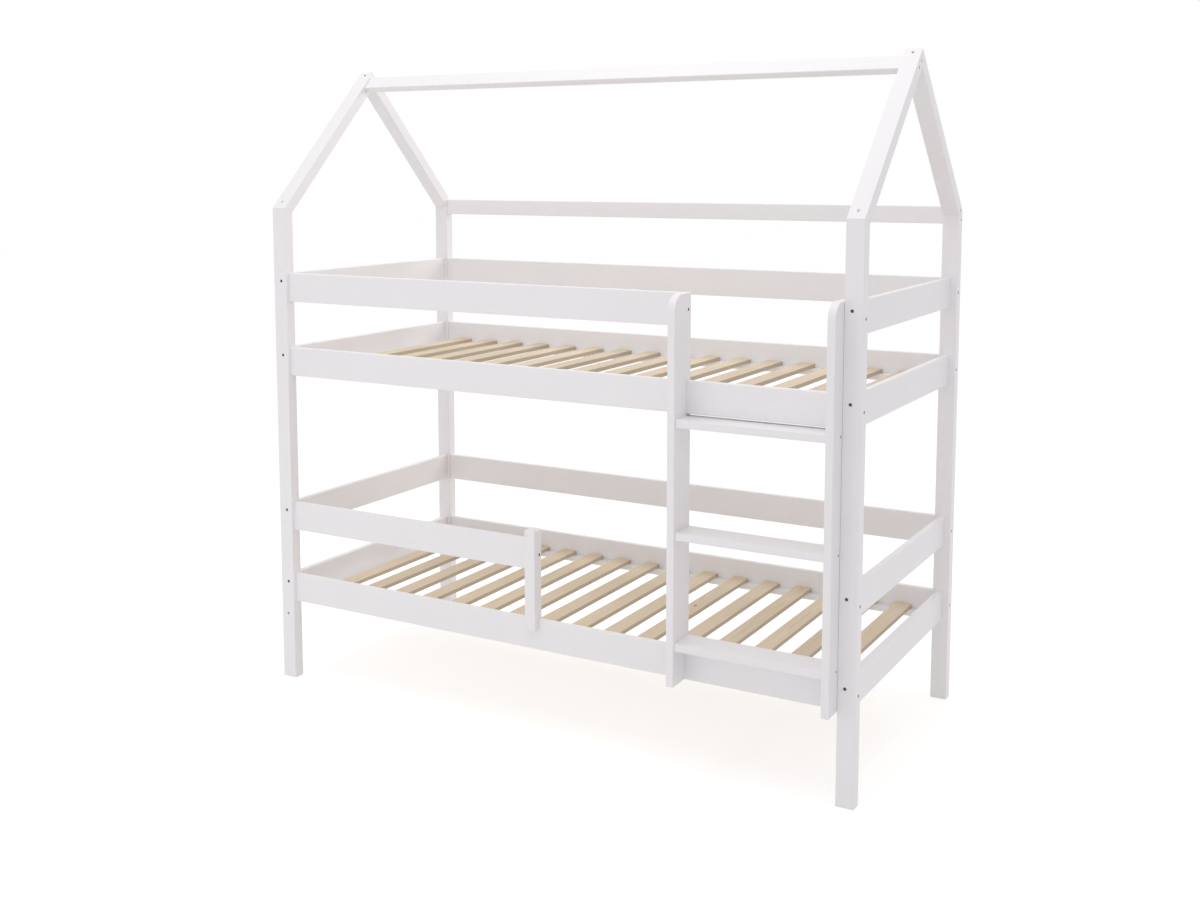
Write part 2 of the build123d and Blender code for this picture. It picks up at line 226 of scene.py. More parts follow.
def turned(rings, point, out):
    """A closed body of rings about an axis. A ring is a height and a radius, or a function for the radius."""
    shape = bmesh.new()
    loops = []
    for height, radius in rings:
        loop = []
        for number in range(hole_sides):
            angle = 2 * math.pi * number / hole_sides
            reach = radius(angle) if callable(radius) else radius
            loop.append(shape.verts.new((reach * math.cos(angle), reach * math.sin(angle), height)))
        loops.append(loop)
    for lower, upper in zip(loops, loops[1:]):
        for one in range(hole_sides):
            other = (one + 1) % hole_sides
            shape.faces.new((lower[one], lower[other], upper[other], upper[one]))
    shape.faces.new(loops[0])
    shape.faces.new(loops[-1])
    turn = Vector(upright).rotation_difference(Vector(out)).to_matrix().to_4x4()
    shape.transform(Matrix.Translation(point) @ turn)
    bmesh.ops.recalc_face_normals(shape, faces=shape.faces)
    return shape


def together(shapes):
    """Puts several shapes into one."""
    joined = bmesh.new()
    for shape in shapes:
        loose = bpy.data.meshes.new("loose")
        shape.to_mesh(loose)
        joined.from_mesh(loose)
        shape.free()
        bpy.data.meshes.remove(loose)
    return joined


def made_object(name, shape):
    """Turns a shape into an object of the scene."""
    mesh = bpy.data.meshes.new(name)
    shape.to_mesh(mesh)
    shape.free()
    piece = bpy.data.objects.new(name, mesh)
    bpy.context.scene.collection.objects.link(piece)
    return piece


def apply_modifiers(piece):
    """Makes what the modifiers show the piece's own mesh."""
    graph = bpy.context.evaluated_depsgraph_get()
    graph.update()
    mesh = bpy.data.meshes.new_from_object(piece.evaluated_get(graph))
    piece.modifiers.clear()
    piece.data = mesh


def cut_away(piece, cutters):
    """Cuts shapes out of a piece."""
    tool = made_object("cutters", together(cutters))
    cut = piece.modifiers.new("cut", "BOOLEAN")
    cut.operation = "DIFFERENCE"
    cut.solver = "EXACT"
    cut.object = tool
    apply_modifiers(piece)
    bpy.data.objects.remove(tool)


def smooth_rounds(piece):
    """Flat faces shade flat, rounds shade round, and what is sharp stays sharp."""
    shape = bmesh.new()
    shape.from_mesh(piece.data)
    for face in shape.faces:
        face.smooth = True
    for edge in shape.edges:
        edge.smooth = edge.calc_face_angle(0) < round_angle
    shape.to_mesh(piece.data)
    shape.free()
    weights = piece.modifiers.new("weights", "WEIGHTED_NORMAL")
    weights.mode = "FACE_AREA"
    weights.weight = flat_face_weight
    weights.keep_sharp = True
    apply_modifiers(piece)


def write_mark(mesh, name, values, kind="FLOAT"):
    """Writes a value, or three for a vector, on each point of a mesh, for its finish to read."""
    field = "vector" if kind == "FLOAT_VECTOR" else "value"
    mesh.attributes.new(name, kind, "POINT")
    mesh.attributes[name].data.foreach_set(field, values)


def lay_grain(piece, along, across, knot=no_knot):
    """Marks each point with its place in the log, its way to the knot, the piece's tone, and eased edges."""
    mesh = piece.data
    axes = (Vector(along), Vector(across), Vector(along).cross(Vector(across)))
    places = [[vert.co.dot(axis) for axis in axes] for vert in mesh.vertices]
    middle = [(min(row) + max(row)) / 2 for row in zip(*places)]
    log_place = chance.uniform(-log_shift, log_shift)
    heart = (log_place, chance.uniform(-heart_shift, heart_shift), chance.uniform(*heart_depth))
    tone = chance.uniform(-1, 1)
    grain_marks, knot_marks = [], []
    for place in places:
        own = [value - centre for value, centre in zip(place, middle)]
        grain_marks += [value + shift for value, shift in zip(own, heart)]
        knot_marks += [own[0] - knot[0], own[1] - knot[1], 0]
    edge_marks = [1.0] * len(places)
    for face in mesh.polygons:
        longest = max((mesh.vertices[a].co - mesh.vertices[b].co).length for a, b in face.edge_keys)
        if face.area / longest > narrow_face:
            for corner in face.vertices:
                edge_marks[corner] = 0.0
    write_mark(mesh, "grain", grain_marks, "FLOAT_VECTOR")
    write_mark(mesh, "knot", knot_marks, "FLOAT_VECTOR")
    write_mark(mesh, "tone", [tone] * len(places))
    write_mark(mesh, "edge", edge_marks)


def hand_over(piece, node):
    """The piece stands for its node, which is hidden, and stays with the bed."""
    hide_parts(node)
    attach(piece, "root")


paint = satin_white_paint()


def fit(node, shape, cutters, along, across):
    """Cuts, smooths, grains and paints one piece of wood, and puts it in its node's place."""
    piece = made_object(f"white_{node}", shape)
    piece.data.materials.append(paint)
    if cutters:
        cut_away(piece, cutters)
    smooth_rounds(piece)
    lay_grain(piece, along, across)
    hand_over(piece, node)


def middle_of(node):
    """The middle of a node's box."""
    low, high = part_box(node)
    return (low + high) / 2


def outer_x(end, low, high):
    """Where the face is that looks out at one end of the bed."""
    return high.x if ends[end] > 0 else low.x


def outer_and_inner_y(side, low, high):
    """Where the faces of a post are that look out of the bed and into it."""
    return (high.y, low.y) if sides[side] > 0 else (low.y, high.y)


def seat_and_bore(point, out, length, head_radius, head_depth, shank_radius):
    """The cutter for one bolt or screw: a flared seat for its head, and a bore for its shank."""
    wide = head_radius + hole_clearance
    bore = shank_radius + hole_clearance
    rings = [
        (-length, bore),
        (-head_depth, bore),
        (-head_depth, wide),
        (-hole_flare, wide),
        (0, wide + hole_flare),
        (hole_overrun, wide + hole_flare),
    ]
    return turned(rings, point, out)


def note_seat(group, point, out, thickness, recess):
    """Notes where a bolt or screw goes, and how thick the wood is there."""
    seats.setdefault(group, []).append((point, out, thickness, recess))


def bolt_seat(group, point, out, thickness):
    """Notes where a bolt goes, and gives the cutter for its seat and bore."""
    note_seat(group, point, out, thickness, bolt_head_recess)
    head_depth = bolt_head_recess + bolt_head_height
    length = thickness + hole_overrun
    return seat_and_bore(point, out, length, bolt_head_radius, head_depth, bolt_shank_radius)


def screw_seat(group, point, out, thickness, recess=screw_head_recess):
    """Notes where a screw goes, and gives the cutter for its seat and bore."""
    note_seat(group, point, out, thickness, recess)
    head_depth = recess + screw_head_height
    length = thickness + hole_overrun
    return seat_and_bore(point, out, length, screw_head_radius, head_depth, screw_shank_radius)


def post_cutters(end, side):
    """All the holes of one post: bolts into the boards along the bed and across it, and the spare hole."""
    low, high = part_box(f"post_{side}_{end}")
    face_x = outer_x(end, low, high)
    face_y = outer_and_inner_y(side, low, high)[0]
    wide, thick = high.x - low.x, high.y - low.y
    cutters = []
    for board in side_boards:
        middle = middle_of(f"{board}_{side}")
        holds_stile = end == "right" and side == "front" and board.endswith("guard")
        group = "stile_bolts" if holds_stile else "side_board_bolts"
        cutters.append(bolt_seat(group, (face_x, middle.y, middle.z), (ends[end], 0, 0), wide))
    for board in end_boards:
        middle = middle_of(f"{board}_{end}")
        point = (middle.x, face_y, middle.z + end_bolt_rise)
        cutters.append(bolt_seat("end_board_bolts", point, (0, sides[side], 0), thick))
    if side == "back":
        rail = middle_of("eave_rail_back")
        low_screw = (face_x, rail.y + eave_screw_stagger, rail.z - batten_screw_pitch / 2)
        cutters.append(screw_seat("batten_screws", low_screw, (ends[end], 0, 0), wide))
    if end == "left" and side == "front":
        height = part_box("lower_side_rail_front")[0].z - spare_hole_drop
        rings = [
            (-spare_hole_depth, spare_hole_radius),
            (-hole_flare, spare_hole_radius),
            (0, spare_hole_radius + hole_flare),
            (hole_overrun, spare_hole_radius + hole_flare),
        ]
        cutters.append(turned(rings, ((low.x + high.x) / 2, face_y, height), (0, sides[side], 0)))
    return cutters


for end in ends:
    for side in sides:
        node = f"post_{side}_{end}"
        low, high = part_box(node)
        outer, inner = outer_and_inner_y(side, low, high)
        shoulder = high.z - (high.y - low.y) * math.tan(mitre_slope)
        outline = [(outer, 0), (outer, high.z), (inner, shoulder), (inner, 0)]
        post = slab(outline, high.x - low.x, seen_from_end(low.x))
        round_over(post, long_edges(post), stock_round, stock_round_steps)
        ease_corners(post)
        fit(node, post, post_cutters(end, side), upright, along_bed)


# Rafters. Two lengths of the same stock as the posts make the gable at each end of the bed.
# Each is mitred to its post below and to the other rafter at the apex, and is held by a screw
# driven straight down through its foot. A screw through the front rafter closes the apex.
foot_screw_inset = 0.022
foot_screw_recess = 0.0055
foot_screw_wood = 0.046
apex_screw_drop = 0.017
batten_drop = 0.048


def roof_point(apex, along, depth):
    """A point in the front slope: down along it from the apex, then square below its outer face."""
    y = apex.y - along * math.cos(roof_slope) + depth * math.sin(roof_slope)
    z = apex.z - along * math.sin(roof_slope) - depth * math.cos(roof_slope)
    return y, z


for end in ends:
    for side in sides:
        node = f"rafter_{side}_{end}"
        low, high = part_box(node)
        post_low, post_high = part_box(f"post_{side}_{end}")
        wide, thick = high.x - low.x, post_high.y - post_low.y
        outer, inner = outer_and_inner_y(side, post_low, post_high)
        ridge_y = high.y if side == "front" else low.y
        under_ridge = high.z - thick / math.cos(roof_slope)
        outline = [(outer, post_high.z), (ridge_y, high.z), (ridge_y, under_ridge), (inner, low.z)]
        rafter = slab(outline, wide, seen_from_end(low.x))
        round_over(rafter, long_edges(rafter), stock_round, stock_round_steps)
        ease_corners(rafter)
        middle_x = (low.x + high.x) / 2
        face_x = outer_x(end, low, high)
        way_out = (ends[end], 0, 0)
        foot_y = outer - sides[side] * foot_screw_inset
        foot = (middle_x, foot_y, post_high.z + foot_screw_inset * math.tan(roof_slope))
        cutters = [screw_seat("rafter_foot_screws", foot, upright, foot_screw_wood, foot_screw_recess)]
        if side == "front":
            apex = Vector((0, ridge_y, high.z))
            y, z = roof_point(apex, apex_screw_drop, 0)
            square_out = (0, -math.sin(roof_slope), math.cos(roof_slope))
            cutters.append(screw_seat("apex_screws", (middle_x, y, z), square_out, thick))
            for offset in (-batten_screw_pitch / 2, batten_screw_pitch / 2):
                y, z = roof_point(apex, batten_drop + offset, thick / 2)
                cutters.append(screw_seat("batten_screws", (face_x, y, z), way_out, wide))
        else:
            rail = middle_of("eave_rail_back")
            high_screw = (face_x, rail.y - eave_screw_stagger, rail.z + batten_screw_pitch / 2)
            cutters.append(screw_seat("batten_screws", high_screw, way_out, wide))
        rise = Vector((0, ridge_y - outer, high.z - post_high.z)).normalized()
        fit(node, rafter, cutters, rise, along_bed)


# Ridge board and eave rail. Two pine battens, 57 by 24 mm, tie the gables together, painted like the rest.
# The ridge board lies in line with the front slope, and the eave rail stands on edge behind the bed.
# Both are cut square and held by two screws through the gable at each end.
batten_width = 0.057
batten_thick = 0.024
board_round = 0.003
board_round_steps = 4


def square_block(low, high):
    """A square-edged block that fills a box."""
    outline = [(low.y, low.z), (high.y, low.z), (high.y, high.z), (low.y, high.z)]
    return slab(outline, high.x - low.x, seen_from_end(low.x))


def bar_in_box(low, high, radius=board_round, steps=board_round_steps):
    """A bar that fills a box, its long edges rounded and its ends eased."""
    bar = square_block(low, high)
    round_over(bar, long_edges(bar), radius, steps)
    ease_corners(bar)
    return bar


low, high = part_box("ridge_board")
half_size = Vector(((high.x - low.x) / 2, batten_width / 2, batten_thick / 2))
ridge = bar_in_box(-half_size, half_size)
ridge.transform(Matrix.Translation((low + high) / 2) @ Matrix.Rotation(roof_slope, 4, "X"))
slope_up = (0, math.cos(roof_slope), math.sin(roof_slope))
fit("ridge_board", ridge, [], along_bed, slope_up)
fit("eave_rail_back", bar_in_box(*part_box("eave_rail_back")), [], along_bed, upright)


# End boards. Four boards of planed pine, 98 by 20 mm, cross each end of the bed between its two posts.
# Each deck has a rail that helps to carry it and a guard above. Their long edges are rounded over, and
# each end is cut square, set 22 mm in from the face of the posts, and drawn up to them by a bolt.
across_bed = (0, 1, 0)
for end in ends:
    for board in end_boards:
        node = f"{board}_{end}"
        fit(node, bar_in_box(*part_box(node)), [], across_bed, upright)


# Side boards. Boards of the same section run along the bed: rails front and back on both decks,
# whole guards at the back, and two shorter guards at the front that leave the ways in open.
# They are bolted through the posts into their end wood.
for board in side_boards:
    for side in sides:
        node = f"{board}_{side}"
        fit(node, bar_in_box(*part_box(node)), [], along_bed, upright)


# Short post. A block of pine, 38 mm wide, carries the free end of the lower front guard.
# Its top corners are rounded, its foot is cut back to lap over the front of the rail, and it is
# screwed to the rail from inside. A bolt goes through it into the end of the guard.
short_post_top_round = 0.008
short_post_round_steps = 8
lap_clearance = 0.0003
same_place = 1e-6


def lies_at(edge, axis, place):
    """Whether both ends of an edge are at one place along an axis."""
    return all(abs(getattr(vert.co, axis) - place) < same_place for vert in edge.verts)


def lies_across(edge):
    """Whether an edge runs square to the length of the bed."""
    return lies_at(edge, "x", edge.verts[0].co.x)


low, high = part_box("lower_guard_post")
rail_low, rail_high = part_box("lower_side_rail_front")
guard = middle_of("lower_guard_front")
outline = [(low.x, low.z), (high.x, low.z), (high.x, high.z), (low.x, high.z)]
seen_from_front = Matrix(((1, 0, 0, 0), (0, 0, 1, low.y), (0, 1, 0, 0), (0, 0, 0, 1)))
stub = slab(outline, high.y - low.y, seen_from_front)
top_corners = [edge for edge in stub.edges if lies_at(edge, "z", high.z) and lies_across(edge)]
round_over(stub, top_corners, short_post_top_round, short_post_round_steps)
front_rim = [edge for edge in stub.edges if lies_at(edge, "y", low.y)]
round_over(stub, front_rim, board_round, board_round_steps)
ease_corners(stub)
lap_low = Vector((low.x - hole_overrun, rail_low.y - lap_clearance, low.z - hole_overrun))
lap_high = Vector((high.x + hole_overrun, high.y + hole_overrun, rail_high.z + lap_clearance))
cutters = [
    square_block(lap_low, lap_high),
    bolt_seat("guard_end_bolts", (high.x, guard.y, guard.z), along_bed, high.x - low.x),
]
fit("lower_guard_post", stub, cutters, upright, along_bed)


# Ladder stiles. Two planks of pine, 24 mm thick, stand out from the front of the bed and carry the steps.
# Each is rounded at its front top corner and notched at the back to fit over both side rails.
# The right one is bolted to the post, and the left one holds the end of the upper front guard.
stile_top_round = 0.05
stile_arc_steps = 16
stile_edge_round = 0.0025
front_rails = ("lower_side_rail_front", "upper_side_rail_front")
step_names = ("top", "middle", "bottom")


def stile_outline(low, high):
    """The outline of a stile from the end of the bed, with its round front top corner."""
    arc = []
    for number in range(stile_arc_steps + 1):
        angle = math.pi / 2 * number / stile_arc_steps
        y = low.y + stile_top_round * (1 - math.cos(angle))
        z = high.z - stile_top_round * (1 - math.sin(angle))
        arc.append((y, z))
    return [(low.y, low.z)] + arc + [(high.y, high.z), (high.y, low.z)]


for end in ends:
    node = f"ladder_stile_{end}"
    low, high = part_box(node)
    thick = high.x - low.x
    stile = slab(stile_outline(low, high), thick, seen_from_end(low.x))
    rims = [edge for edge in stile.edges if lies_across(edge)]
    round_over(stile, rims, stile_edge_round, board_round_steps)
    ease_corners(stile)
    cutters = []
    for rail in front_rails:
        rail_low, rail_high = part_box(rail)
        notch_low = Vector((low.x - hole_overrun, rail_low.y - lap_clearance, rail_low.z - lap_clearance))
        notch_high = Vector((high.x + hole_overrun, high.y + hole_overrun, rail_high.z + lap_clearance))
        cutters.append(square_block(notch_low, notch_high))
    for step in step_names:
        middle = middle_of(f"ladder_step_{step}")
        point = (outer_x(end, low, high), middle.y, middle.z)
        cutters.append(screw_seat("step_screws", point, (ends[end], 0, 0), thick))
    if end == "left":
        guard = middle_of("upper_guard_front")
        cutters.append(bolt_seat("guard_end_bolts", (high.x, guard.y, guard.z), along_bed, thick))
    fit(node, stile, cutters, upright, across_bed)


# Ladder steps. Three boards of pine, 98 by 24 mm, are laid flat between the stiles, flush with them behind.
# Each end is glued on two dowels and drawn up by a screw through the stile.
for step in step_names:
    node = f"ladder_step_{step}"
    fit(node, bar_in_box(*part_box(node)), [], along_bed, across_bed)


# Cleats. Square bearers of pine, 22 mm each way, are fixed along the foot of the side rails, on the inside.
# The ends of the slats lie on them. They are painted with the rails.
decks = ("lower", "upper")
cleat_round = 0.0012
cleat_round_steps = 3
for deck in decks:
    for side in sides:
        node = f"{deck}_cleat_{side}"
        cleat = bar_in_box(*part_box(node), cleat_round, cleat_round_steps)
        fit(node, cleat, [], along_bed, upright)


# Slats. Sixteen bare pine slats on each deck, 57 by 15 mm, lie across the bed on the cleats, evenly spaced.
# They are planed, with rounded long edges, and painted shade makes their sides darker than their faces.
# Each is cut from another stretch of the log, so the year rings run differently and a few have a small knot.
slat_count = 16
slat_width = 0.057
slat_round = 0.002
slat_round_steps = 3
side_facing = 0.99
# How much painted shade darkens the slats' sides.
painted_side_shade = 0.25
knot_share = 0.3
knot_reach = 0.011
knot_range_along = 0.35
knot_range_across = 0.018
knot_stretch = (0.55, 1, 1)
knot_edge = 0.62
knot_core = 0.3
knot_ring_turns = 70
knot_darkness = 0.75
ring_width = 0.0027
ring_push = 0.011
ring_wander = 0.017
late_wood_start = 0.78
late_wood_end = 0.96
late_wood_left = 0.15
late_wood_least = 0.05
across_log = (0, 1, 1)
wander_stretch = (1.6, 9, 9)
pine_fibre_stretch = (9, 900, 900)
band_stretch = (2.2, 150, 150)
pine_shade = 0.86
pine_roughness = 0.62
pine_gloss = 0.45
early_wood_colour = (0.76, 0.65, 0.49, 1)
late_wood_colour = (0.6, 0.46, 0.3, 1)
knot_colour = (0.2, 0.095, 0.04, 1)


def distance(tree, place):
    """How far a place is from the middle of its pattern."""
    return add_node(tree, "ShaderNodeVectorMath", {0: place}, operation="LENGTH").outputs["Value"]


def year_ring(tree, place):
    """One year's wood: it turns slowly from early to late, and breaks off where the next year starts."""
    ring = maths(tree, "FRACT", maths(tree, "DIVIDE", place, ring_width))
    ramp = add_node(tree, "ShaderNodeValToRGB", {"Fac": ring})
    early, late = ramp.color_ramp.elements
    early.color = (0, 0, 0, 1)
    late.position = late_wood_start
    late.color = (1, 1, 1, 1)
    ramp.color_ramp.elements.new(late_wood_end).color = (late_wood_left, late_wood_left, late_wood_left, 1)
    return ramp.outputs[0]


def planed_pine():
    """Bare pine, planed and not sealed: year rings round the heart of the tree, fine fibres, and a knot.
    Its sides, where the mesh marks them, are darkened with painted shade.
    """
    finish, tree, surface = new_finish("planed_pine")
    grain = mark_on_mesh(tree, "grain", "Vector")
    wander = noise(tree, stretched(tree, grain, wander_stretch), scale=1, detail=3)
    fibres = noise(tree, stretched(tree, grain, pine_fibre_stretch), scale=1, detail=4)
    bands = noise(tree, stretched(tree, grain, band_stretch), scale=1, detail=3)
    knot_place = stretched(tree, mark_on_mesh(tree, "knot", "Vector"), knot_stretch)
    near_knot = maths(tree, "DIVIDE", distance(tree, knot_place), knot_reach)
    bell = maths(tree, "MULTIPLY", maths(tree, "MULTIPLY", near_knot, near_knot), -0.5)
    swell = maths(tree, "EXPONENT", bell)
    from_heart = distance(tree, stretched(tree, grain, across_log))
    ring = year_ring(tree, built_up(tree, from_heart, (swell, ring_push), (wander, ring_wander)))
    late = maths(tree, "MULTIPLY", ring, built_up(tree, late_wood_least, (bands, 0.9)))
    ringed = blend_colours(tree, late, early_wood_colour, late_wood_colour)
    in_knot = {"Value": near_knot, "From Min": knot_edge, "From Max": knot_core}
    core = add_node(tree, "ShaderNodeMapRange", in_knot).outputs[0]
    knot_rings = maths(tree, "SINE", maths(tree, "MULTIPLY", near_knot, knot_ring_turns))
    knot_depth = maths(tree, "MULTIPLY", core, built_up(tree, knot_darkness, (knot_rings, 0.18)))
    knotted = blend_colours(tree, knot_depth, ringed, knot_colour)
    tone = mark_on_mesh(tree, "tone")
    # The side mark carries painted shade: the slats' sides are darkened as if less light reached them.
    side = mark_on_mesh(tree, "side")
    face_shade = built_up(tree, pine_shade, (fibres, 0.16), (bands, 0.12), (tone, 0.05))
    shade = maths(tree, "MULTIPLY", face_shade, built_up(tree, 1, (side, -painted_side_shade)))
    roughness = built_up(tree, pine_roughness, (late, -0.1))
    normal = relief(tree, built_up(tree, fibres, (late, 0.5)), strength=0.35, depth=0.0004)
    dress(tree, surface, shaded(tree, knotted, shade), roughness, normal)
    surface.inputs["Specular IOR Level"].default_value = pine_gloss
    return finish


def mark_shaded_sides(slat):
    """Marks the points on the two long sides of a slat, which the pine finish darkens with painted shade."""
    shaded_side_marks = [0.0] * len(slat.data.vertices)
    for face in slat.data.polygons:
        if abs(face.normal.x) > side_facing:
            for corner in face.vertices:
                shaded_side_marks[corner] = 1.0
    write_mark(slat.data, "side", shaded_side_marks)


pine = planed_pine()
for deck in decks:
    node = f"{deck}_slats"
    low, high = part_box(node)
    pitch = (high.x - low.x - slat_width) / (slat_count - 1)
    slats = []
    for number in range(slat_count):
        start = low.x + pitch * number
        slat_low = Vector((start, low.y, low.z))
        slat_high = Vector((start + slat_width, high.y, high.z))
        shape = bar_in_box(slat_low, slat_high, slat_round, slat_round_steps)
        slat = made_object(f"{deck}_slat_{number + 1}", shape)
        slat.data.materials.append(pine)
        smooth_rounds(slat)
        knot = no_knot
        if chance.random() < knot_share:
            knot_along = chance.uniform(-knot_range_along, knot_range_along)
            knot = (knot_along, chance.uniform(-knot_range_across, knot_range_across))
        lay_grain(slat, across_bed, along_bed, knot)
        mark_shaded_sides(slat)
        slats.append(slat)
    with bpy.context.temp_override(active_object=slats[0], selected_editable_objects=slats):
        bpy.ops.object.join()
    slats[0].name = f"pine_{deck}_slats"
    hand_over(slats[0], node)


# Bolts. Black oxide cap bolts with a hexagon socket, let in just below the face of the post or stile.
# They run through it and on into the end of a board, or into the stile, and draw the joint tight.
bolt_grips = {
    "side_board_bolts": 0.04,
    "end_board_bolts": 0.04,
    "stile_bolts": 0.018,
    "guard_end_bolts": 0.04,
}
socket_flat = 0.0025
socket_depth = 0.0035
head_edge = 0.0004
tip_taper = 0.001
thread_depth = 0.0003
thread_steps = 26
steel_roughness = 0.25
black_steel_colour = (0.07, 0.07, 0.075, 1)
rubbed_steel_colour = (0.18, 0.18, 0.185, 1)


def turned_steel(name, dull_colour, bright_colour):
    """Plated or blackened steel, clouded by handling and finely scratched."""
    finish, tree, surface = new_finish(name)
    place = add_node(tree, "ShaderNodeTexCoord").outputs["Object"]
    clouds = noise(tree, place, scale=240, detail=3)
    grit = noise(tree, place, scale=2600, detail=3)
    colour = blend_colours(tree, clouds, dull_colour, bright_colour)
    roughness = built_up(tree, steel_roughness, (clouds, 0.25))
    dress(tree, surface, colour, roughness, relief(tree, grit, strength=0.25, depth=0.00008))
    surface.inputs["Metallic"].default_value = 1.0
    return finish


def hexagon(flat):
    """The distance to a hexagon's side in each direction."""
    return lambda angle: flat / math.cos(angle % (math.pi / 3) - math.pi / 6)


def threaded(foot, top, radius):
    """The rings of a thread between two heights."""
    pitch = (top - foot) / thread_steps
    rings = []
    for number in range(thread_steps):
        rings.append((foot + pitch * (number + 0.5), radius - thread_depth))
        rings.append((foot + pitch * (number + 1), radius))
    return rings


def bolt_body(point, out, length, recess):
    """One cap bolt: a tapered tip, a threaded shank, a head with rounded edges, and its socket."""
    top = -recess
    seat = top - bolt_head_height
    foot = tip_taper - length
    rings = [(-length, bolt_shank_radius - tip_taper), (foot, bolt_shank_radius)]
    rings += threaded(foot, seat - tip_taper, bolt_shank_radius)
    rings += [
        (seat, bolt_shank_radius),
        (seat, bolt_head_radius - head_edge),
        (seat + head_edge, bolt_head_radius),
        (top - head_edge * 2, bolt_head_radius),
        (top - head_edge / 2, bolt_head_radius - head_edge / 2),
        (top, bolt_head_radius - head_edge * 2),
        (top, hexagon(socket_flat + head_edge / 2)),
        (top - head_edge / 2, hexagon(socket_flat)),
        (top - socket_depth, hexagon(socket_flat)),
        (top - socket_depth - tip_taper, socket_flat / 4),
    ]
    return turned(rings, point, out)


def set_in_seats(group, body, grip, finish):
    """Makes a group of bolts or screws, one in each seat, that grip some depth of the wood behind."""
    bodies = [body(point, out, thickness + grip, recess) for point, out, thickness, recess in seats[group]]
    piece = made_object(f"steel_{group}", together(bodies))
    piece.data.materials.append(finish)
    smooth_rounds(piece)
    hand_over(piece, group)


black_steel = turned_steel("black_oxide_steel", black_steel_colour, rubbed_steel_colour)
for group, grip in bolt_grips.items():
    set_in_seats(group, bolt_body, grip, black_steel)


# Screws. Zinc-plated wood screws with flat heads and a cross recess. They fix the rafters and battens of the
# roof, the ends of the steps, and, from inside, the stiles and the short post to the front rails.
screw_grips = {
    "step_screws": 0.036,
    "ladder_rail_screws": 0.014,
    "rafter_foot_screws": 0.024,
    "apex_screws": 0.04,
    "batten_screws": 0.036,
}
cross_long = 0.0022
cross_short = 0.0009
cross_depth = 0.0016
cross_taper = 0.55
cross_arm_angle = 0.1
screw_point = 0.006
screw_tip_radius = 0.0002
rail_screw_rise = 0.016
short_post_lap = 0.033
dull_zinc_colour = (0.16, 0.16, 0.165, 1)
plain_zinc_colour = (0.3, 0.3, 0.31, 1)


def cross(angle):
    """The distance to the edge of a cross recess in each direction."""
    turn = angle % (math.pi / 2)
    on_arm = min(turn, math.pi / 2 - turn) < cross_arm_angle
    return cross_long if on_arm else cross_short


def screw_body(point, out, length, recess):
    """One wood screw: a sharp point, a thread, a countersunk head and its cross recess."""
    top = -recess
    foot = screw_point - length
    rings = [(-length, screw_tip_radius), (foot, screw_shank_radius)]
    rings += threaded(foot, top - screw_head_height, screw_shank_radius)
    rings += [
        (top - head_edge, screw_head_radius),
        (top - head_edge / 2, screw_head_radius),
        (top, screw_head_radius - head_edge / 2),
        (top, cross),
        (top - cross_depth, lambda angle: cross(angle) * cross_taper),
    ]
    return turned(rings, point, out)


def rail_screw(x, z, rail):
    """Notes a screw that is driven from inside the bed through a front rail."""
    rail_low, rail_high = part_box(rail)
    point = (x, rail_high.y, z)
    note_seat("ladder_rail_screws", point, across_bed, rail_high.y - rail_low.y, screw_head_recess)


for rail in front_rails:
    for end in ends:
        rail_screw(middle_of(f"ladder_stile_{end}").x, middle_of(rail).z + rail_screw_rise, rail)
lap_middle_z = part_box("lower_guard_post")[0].z + short_post_lap / 2
rail_screw(middle_of("lower_guard_post").x, lap_middle_z, "lower_side_rail_front")
zinc_steel = turned_steel("zinc_plated_steel", dull_zinc_colour, plain_zinc_colour)
for group, grip in screw_grips.items():
    set_in_seats(group, screw_body, grip, zinc_steel)


# Dowels. Plain beech pegs, 8 mm thick, are glued into the ends of the boards and steps.
# They are hidden in the joints and keep each board from turning on its one bolt.
beech_light_colour = (0.66, 0.47, 0.31, 1)
beech_dark_colour = (0.5, 0.32, 0.19, 1)
beech_fleck_scale = 700
beech_roughness = 0.5


def bare_beech():
    """Bare beech: pale, close-grained, with short dark flecks."""
    finish, tree, surface = new_finish("bare_beech")
    place = add_node(tree, "ShaderNodeTexCoord").outputs["Object"]
    fleck_inputs = {"Vector": place, "Scale": beech_fleck_scale}
    flecks = add_node(tree, "ShaderNodeTexVoronoi", fleck_inputs).outputs["Distance"]
    clouds = noise(tree, place, scale=90, detail=4)
    dark_share = maths(tree, "MULTIPLY", flecks, clouds)
    colour = blend_colours(tree, dark_share, beech_light_colour, beech_dark_colour)
    roughness = built_up(tree, beech_roughness, (clouds, 0.2))
    dress(tree, surface, colour, roughness, relief(tree, flecks, strength=0.2, depth=0.0002))
    return finish


beech = bare_beech()
for node in ("side_board_dowels", "end_board_dowels", "step_dowels"):
    for material_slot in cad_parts[node].material_slots:
        material_slot.material = beech


# Studio. The bed stands on a plain white floor under one wide soft lamp. A weak lamp low in front fills
# the front, and one behind, its beam narrowed, reaches the inside of the left end. The floor and the
# space round it show white to the camera, and the floor keeps the bed's shadow.
floor_reach = 60.0
floor_level = 0.93
shadow_share = 0.8
floor_glow = 0.472
white = (1, 1, 1, 1)
room_colour = (1.0, 0.98, 0.998, 1)
room_strength = 0.72
top_lamp = {"place": (-0.1, -0.8, 4.9), "aim": (-0.1, 0.0, 1.0), "size": 4.0, "power": 49}
front_lamp = {"place": (-1.3, -3.2, 0.7), "aim": (-0.5, 0.0, 0.5), "size": 2.2, "power": 7}
back_lamp = {"place": (0.5, 3.0, 2.8), "aim": (-1.0, 0.1, 0.9), "size": 1.6, "power": 7}
back_lamp_spread = math.radians(75)
camera_place = (2.2502, -3.9910, 1.7801)
camera_heading = math.radians(29.64)
camera_dip = math.radians(6.177)
camera_lens = 41.269
camera_shift = -0.11
scene = bpy.context.scene


def grey(level):
    """A grey of one level."""
    return (level, level, level, 1)


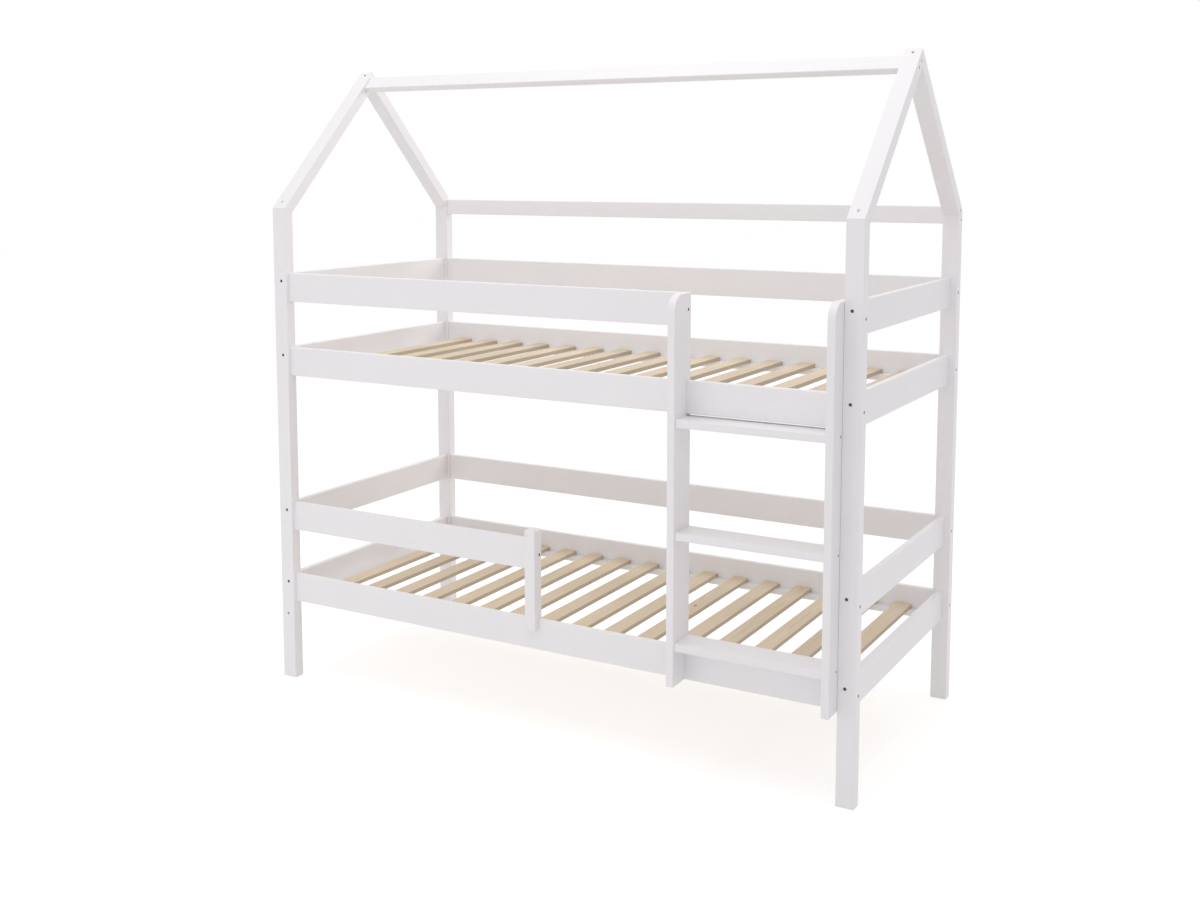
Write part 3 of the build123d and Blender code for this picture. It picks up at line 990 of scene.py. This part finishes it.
def seen_by(tree, *rays):
    """Adds a test for kinds of ray, 1 for a ray of one of them and 0 for others."""
    path = add_node(tree, "ShaderNodeLightPath")
    seen = path.outputs[rays[0]]
    for ray in rays[1:]:
        seen = maths(tree, "MAXIMUM", seen, path.outputs[ray])
    return seen


def white_floor():
    """A matt white floor. To the camera its light is part its own, so the shadow on it is pale."""
    finish, tree, surface = new_finish("white_floor")
    tree.nodes.remove(surface)
    matt = add_node(tree, "ShaderNodeBsdfDiffuse", {"Color": grey(floor_level)}).outputs[0]
    pale = add_node(tree, "ShaderNodeBsdfDiffuse", {"Color": grey(shadow_share * floor_level)}).outputs[0]
    glow = add_node(tree, "ShaderNodeEmission", {"Color": white, "Strength": floor_glow}).outputs[0]
    to_camera = add_node(tree, "ShaderNodeAddShader", {0: pale, 1: glow}).outputs[0]
    seen = seen_by(tree, "Is Camera Ray", "Is Glossy Ray")
    shown = add_node(tree, "ShaderNodeMixShader", {0: seen, 1: matt, 2: to_camera}).outputs[0]
    tree.links.new(shown, tree.nodes["Material Output"].inputs["Surface"])
    return finish


def white_room():
    """Soft light from all round, and plain white wherever the camera looks past the floor."""
    world = bpy.data.worlds.new("white_room")
    world.use_nodes = True
    tree = world.node_tree
    tree.nodes.clear()
    soft_inputs = {"Color": room_colour, "Strength": room_strength}
    soft = add_node(tree, "ShaderNodeBackground", soft_inputs).outputs[0]
    plain = add_node(tree, "ShaderNodeBackground", {"Color": white, "Strength": 1.0}).outputs[0]
    seen = seen_by(tree, "Is Camera Ray", "Is Glossy Ray", "Is Transmission Ray")
    sky = add_node(tree, "ShaderNodeMixShader", {0: seen, 1: soft, 2: plain}).outputs[0]
    add_node(tree, "ShaderNodeOutputWorld", {"Surface": sky})
    return world


def hang_lamp(name, place, aim, size, power, spread=math.pi):
    """A square soft lamp at a place, turned to face a point. The camera doesn't see it."""
    light = bpy.data.lights.new(name, "AREA")
    light.shape = "SQUARE"
    light.size = size
    light.energy = power
    light.spread = spread
    lamp = bpy.data.objects.new(name, light)
    scene.collection.objects.link(lamp)
    lamp.location = place
    lamp.rotation_euler = (Vector(aim) - Vector(place)).to_track_quat("-Z", "Y").to_euler()
    lamp.visible_camera = False


floor_mesh = bpy.data.meshes.new("floor")
corners = [(x * floor_reach, y * floor_reach, 0) for x, y in ((-1, -1), (1, -1), (1, 1), (-1, 1))]
floor_mesh.from_pydata(corners, [], [(0, 1, 2, 3)])
floor_mesh.materials.append(white_floor())
floor = bpy.data.objects.new("floor", floor_mesh)
scene.collection.objects.link(floor)

scene.world = white_room()
hang_lamp("top_lamp", **top_lamp)
hang_lamp("front_lamp", **front_lamp)
hang_lamp("back_lamp", **back_lamp, spread=back_lamp_spread)

camera = bpy.data.objects.new("camera", bpy.data.cameras.new("camera"))
scene.collection.objects.link(camera)
camera.location = camera_place
camera.rotation_euler = (math.pi / 2 - camera_dip, 0, camera_heading)
camera.data.lens = camera_lens
camera.data.shift_y = camera_shift
scene.camera = camera
scene.view_settings.view_transform = "Standard"
